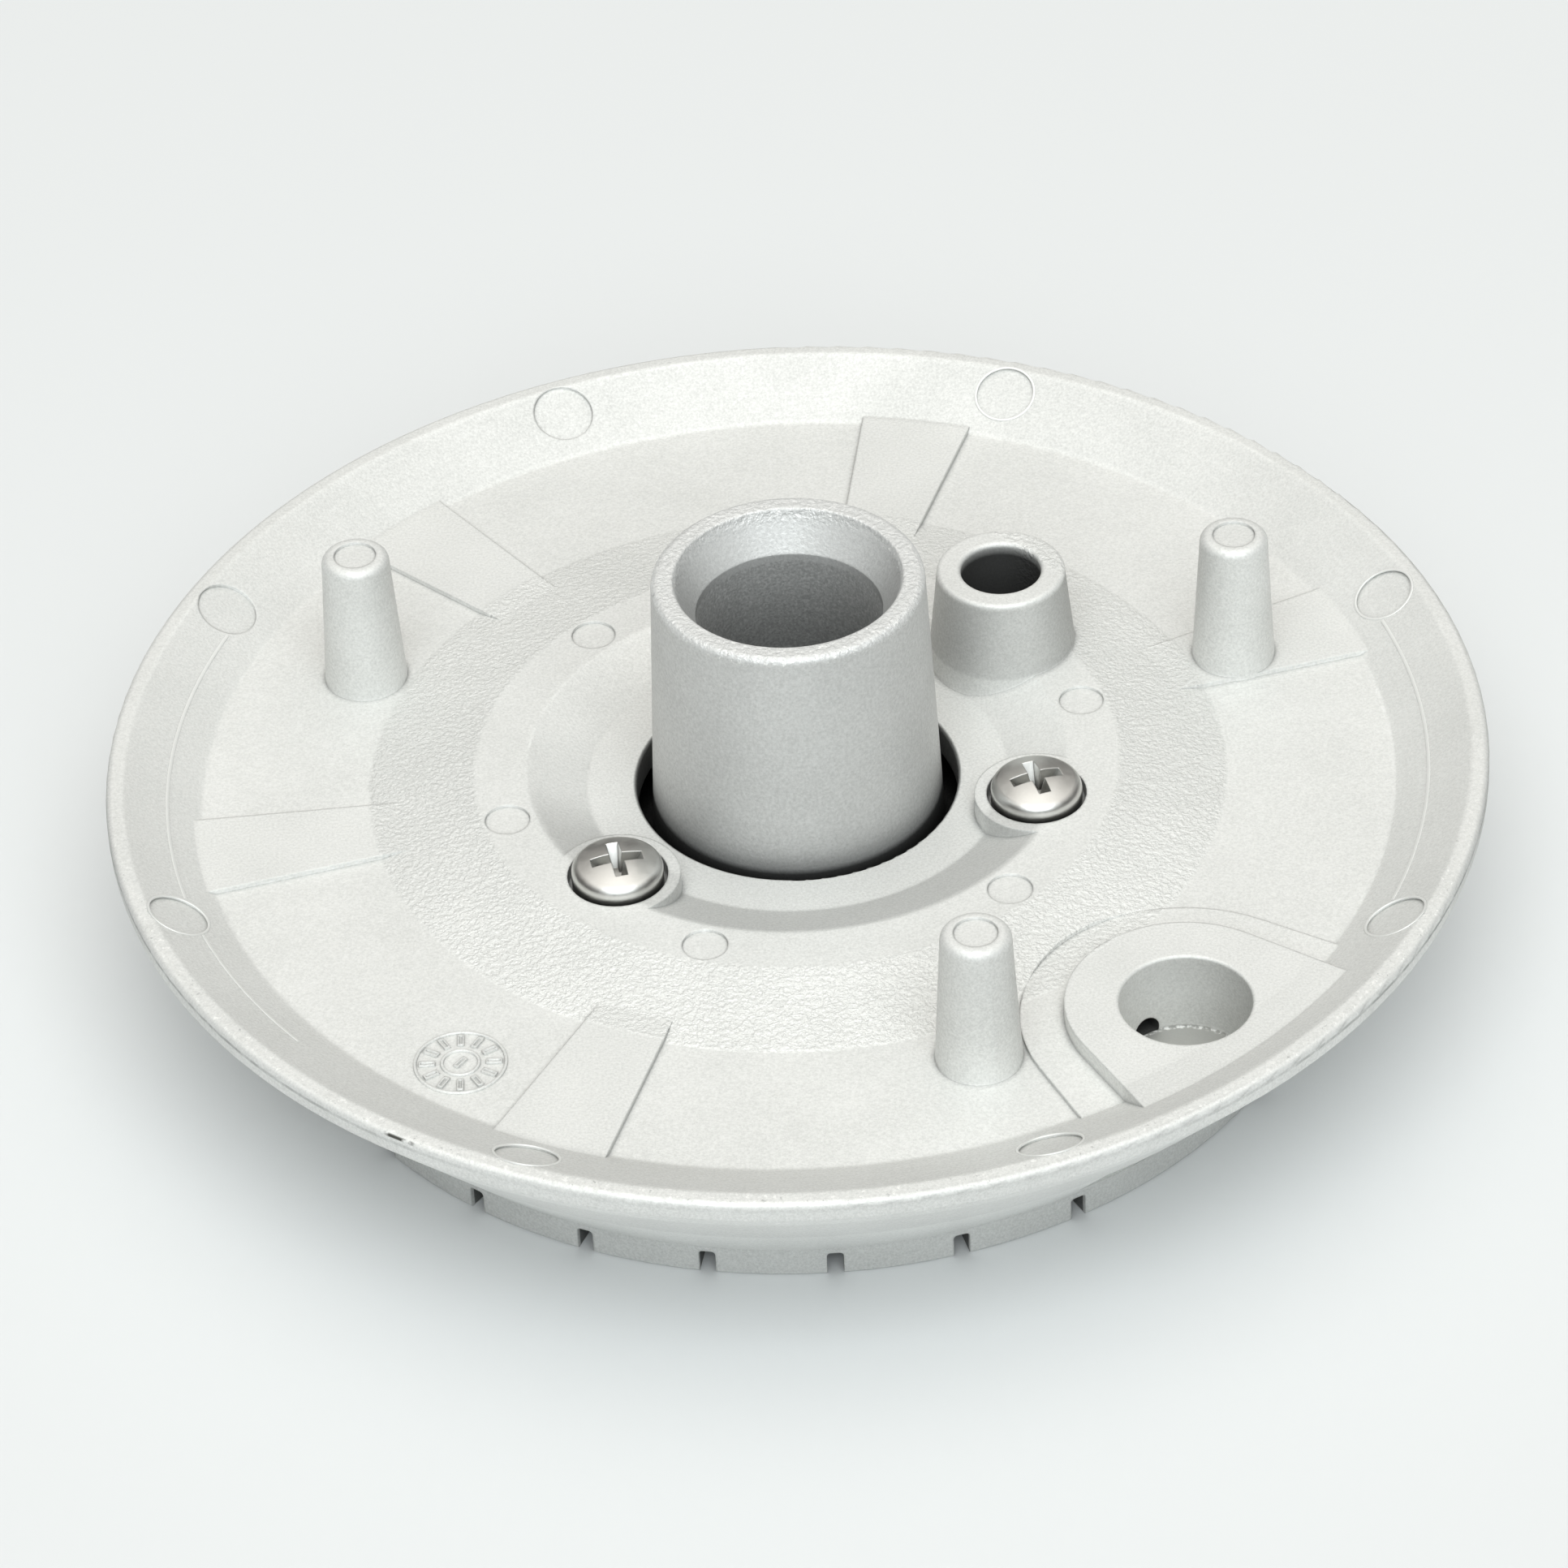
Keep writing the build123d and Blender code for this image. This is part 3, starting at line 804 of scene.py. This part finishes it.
# Die-cast tube: painted shade in the gap round its foot, low on its outside and down its bore, painted
# light and shade in its funnel, and a chipped and pebbled brim
def tube_finish(grain, shade):
    finish = Finish("tube_casting", tube_metallic)
    tree = finish.tree
    pebble_start = tube_top - brim_pebble_start
    pebble_end = tube_top - brim_pebble_end
    pebble = spread(tree, finish.height, pebble_start, pebble_end, tube_pebble, brim_pebble)
    colour = finish.cast_skin(grain, pebble, tube_grain_scale, tube_tones)
    colour = finish.cast_shade(colour, shade, tube_side_shade, tube_corner_shade)
    # Painted shade down the bore and in deep hollows
    deep = openness(tree, tube_deep_reach)
    colour = finish.weigh(colour, spread(tree, deep, *tube_deep_span, tube_deep_shade_tone, 1.0))
    # Painted shade in the gap round the foot, below the web
    outside_end = tube_outside_radius + tube_outside_fade
    outside = rising(tree, finish.radius, tube_outside_radius, outside_end)
    gap_top = ring_top - tube_gap_clear
    sunk = finish.between(finish.height, foot_top, gap_top, tube_gap_fade)
    colour = finish.tone_where(colour, overlap(tree, outside, sunk), tube_gap_shade_tone)
    # Painted shade low on the outside of the tube
    low = falling(tree, finish.height, gap_top, ring_top + tube_foot_rise, smooth=True)
    colour = finish.tone_where(colour, overlap(tree, outside, low), tube_foot_shade_tone)
    colour = add_funnel_light(finish, colour)
    bore = falling(tree, finish.height, tube_throat_top - throat_fade, tube_throat_top)
    bore = reckon(tree, "SUBTRACT", bore, overlap(tree, bore, outside))
    specks = noise(tree, finish.place, throat_scale, throat_detail, throat_roughness)
    colour = finish.tone_where(colour, bore, spread(tree, specks, *throat_span, *throat_tones))
    brim = rising(tree, finish.height, tube_top - brim_start, tube_top - brim_end)
    colour = finish.chip(finish.tone_where(colour, brim, brim_tone), brim, brim_chip_scale)
    finish.surface(colour, spread(tree, finish.grain.outputs["Tone"], 0.0, 1.0, *tube_roughness))
    normal = finish.soft_edges(edge_round)
    finish.bump(finish.grain.outputs["Height"], tube_bump, grain_depth, normal)
    return finish.paint


# Painted light and shade in the funnel of the tube's mouth: greyer on its near half and paler on its far
# half
def add_funnel_light(finish, colour):
    tree = finish.tree
    funnel = finish.between(finish.height, tube_throat_top, tube_top - funnel_clear, funnel_fade)
    inside = falling(tree, finish.radius, tube_mouth_radius, tube_mouth_radius + mouth_fade)
    tone = spread(tree, finish.along, *mouth_turn_span, *mouth_light_tones, smooth=True)
    return finish.tone_where(colour, overlap(tree, funnel, inside), tone)


# Plated steel, smudged by handling, with painted shade in the cross recess
def screw_finish():
    finish = Finish("plated_screw_steel", screw_metallic)
    tree = finish.tree
    smudge = noise(tree, finish.place, smudge_scale, smudge_detail, smudge_roughness)
    colour = finish.blend(smudge, *screw_tones)
    # Painted shade in the cross recess
    cavity = openness(tree, recess_shade_reach)
    colour = finish.weigh(colour, spread(tree, cavity, *recess_shade_span, recess_shade_tone, 1.0))
    finish.surface(colour, spread(tree, smudge, *noise_span, *screw_roughness))
    grit = noise(tree, finish.place, screw_grain_scale, screw_grain_detail)
    finish.bump(grit, screw_bump, screw_grain_depth, finish.soft_edges(screw_edge_round))
    return finish.paint


def dress(node, paint):
    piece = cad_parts[node]
    piece.data.materials.clear()
    piece.data.materials.append(paint)


def hand_over(piece, name, paint):
    piece.name = name
    piece.data.name = name
    piece.data.materials.clear()
    piece.data.materials.append(paint)
    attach(piece, "root")


def select_only(piece):
    bpy.ops.object.select_all(action="DESELECT")
    piece.select_set(True)
    bpy.context.view_layer.objects.active = piece


def copy_of(piece):
    select_only(piece)
    bpy.ops.object.duplicate(linked=False)
    return bpy.context.object


def join_pieces(pieces):
    select_only(pieces[0])
    for piece in pieces:
        piece.select_set(True)
    bpy.ops.object.join()
    return pieces[0]


def start_edit(name):
    piece = bpy.context.object
    piece.name = name
    bpy.ops.object.transform_apply(location=True, rotation=True, scale=True)
    bpy.ops.object.mode_set(mode="EDIT")
    bpy.ops.mesh.select_all(action="SELECT")
    return piece


def end_edit():
    bpy.ops.mesh.select_all(action="SELECT")
    bpy.ops.mesh.remove_doubles(threshold=merge_distance)
    bpy.ops.mesh.normals_make_consistent(inside=False)
    bpy.ops.object.mode_set(mode="OBJECT")
    bpy.ops.object.shade_smooth_by_angle(angle=smooth_angle)


# Low bead round an upright axis: a half-sunk plate, bevelled to a cushion section and spun along an arc
def spin_bead(name, radius, base, width, rise, centre, slope=0.0, start=0.0, sweep=full_turn):
    bpy.ops.object.select_all(action="DESELECT")
    turn = math.radians(start)
    place = Vector(centre) + Vector(polar(radius, start, 0.0))
    place.z = base
    bpy.ops.mesh.primitive_plane_add(size=1.0, location=place, rotation=(math.pi / 2, -slope, turn))
    bpy.context.object.scale = (width, 2.0 * rise, 1.0)
    piece = start_edit(name)
    bpy.ops.mesh.bevel(offset=bead_corner_share * rise, segments=bead_corner_steps, affect="VERTICES")
    bpy.ops.mesh.select_all(action="SELECT")
    bpy.ops.mesh.delete(type="ONLY_FACE")
    bpy.ops.mesh.select_all(action="SELECT")
    steps = max(bead_least_steps, round(bead_steps_per_turn * sweep / full_turn))
    bpy.ops.mesh.spin(steps=steps, angle=-math.radians(sweep), center=centre, axis=(0.0, 0.0, 1.0))
    bpy.ops.mesh.select_all(action="SELECT")
    bpy.ops.mesh.remove_doubles(threshold=merge_distance)
    bpy.ops.mesh.fill_holes(sides=0)
    end_edit()
    return piece


# Parting line, broken at the pin marks and worn away on the far side
def parting_line(paint):
    base = band_height(parting_radius)
    axis = (0.0, 0.0, 0.0)
    arcs = []
    for first, last in parting_spans:
        start = first + parting_clear
        sweep = last - parting_clear - start
        arc = spin_bead(
            "parting_arc", parting_radius, base, parting_width, parting_rise, axis, band_slope, start, sweep
        )
        arcs.append(arc)
    hand_over(join_pieces(arcs), "parting_line", paint)


# One ring of flash, copied to every pin mark and tipped to the slope of the band
def pin_flash(paint):
    ring = spin_bead("pin_flash", pin_radius, 0.0, flash_width, flash_rise, (0.0, 0.0, 0.0))
    rings = [ring]
    while len(rings) < len(pin_angles):
        rings.append(copy_of(ring))
    base = band_height(pin_distance)
    for piece, angle in zip(rings, pin_angles):
        select_only(piece)
        piece.rotation_euler = (0.0, -band_slope, math.radians(angle))
        piece.location = polar(pin_distance, angle, base)
        bpy.ops.object.transform_apply(location=True, rotation=True, scale=True)
    hand_over(join_pieces(rings), "pin_flash", paint)


# Small raised bar, half sunk, with a hollow in its top so that its rim shows as a loop
def dial_bar(place, turn, length, width):
    bpy.ops.object.select_all(action="DESELECT")
    bpy.ops.mesh.primitive_cube_add(size=1.0, location=place, rotation=(0.0, 0.0, turn))
    bpy.context.object.scale = (length, width, 2.0 * dial_rise)
    bar = start_edit("dial_bar")
    bpy.ops.mesh.select_mode(type="FACE")
    bpy.ops.mesh.select_all(action="DESELECT")
    bpy.ops.object.mode_set(mode="OBJECT")
    for face in bar.data.polygons:
        face.select = face.normal.z > top_face_tilt
    bpy.ops.object.mode_set(mode="EDIT")
    bpy.ops.mesh.inset(thickness=dial_tick_outline, depth=0.0)
    bpy.ops.mesh.inset(thickness=dial_tick_wall, depth=-dial_tick_depth)
    end_edit()
    return bar


def turned_copy(tick, number, centre):
    copy = copy_of(tick)
    bpy.ops.object.mode_set(mode="EDIT")
    bpy.ops.mesh.select_all(action="SELECT")
    turn = 2 * math.pi * number / dial_tick_count
    bpy.ops.transform.rotate(value=turn, orient_axis="Z", center_override=centre)
    bpy.ops.object.mode_set(mode="OBJECT")
    return copy


# Two rings with a circle of bars between them and one bar as a pointer in the middle
def date_dial(paint):
    centre = Vector(polar(dial_distance, dial_angle, floor_top))
    pieces = []
    for radius in (dial_radius, dial_hub_radius):
        pieces.append(spin_bead("dial_ring", radius, floor_top, dial_line, dial_rise, centre))
    tick_place = centre + Vector((dial_tick_middle, 0.0, 0.0))
    tick = dial_bar(tick_place, 0.0, dial_tick_length, dial_tick_width)
    pieces.append(tick)
    for number in range(1, dial_tick_count):
        pieces.append(turned_copy(tick, number, centre))
    pieces.append(dial_bar(centre, math.radians(dial_angle), dial_tick_length, dial_pointer_width))
    hand_over(join_pieces(pieces), "date_dial", paint)


def main():
    place_camera()
    place_light()
    lay_floor()
    grain = cast_grain_group()
    shade = cast_shade_group()
    head_paint = head_finish(grain, shade)
    dress("burner_head", head_paint)
    dress("venturi_tube", tube_finish(grain, shade))
    dress("clamp_screws", screw_finish())
    flash_paint = flash_finish()
    parting_line(flash_paint)
    pin_flash(flash_paint)
    date_dial(head_paint)


main()
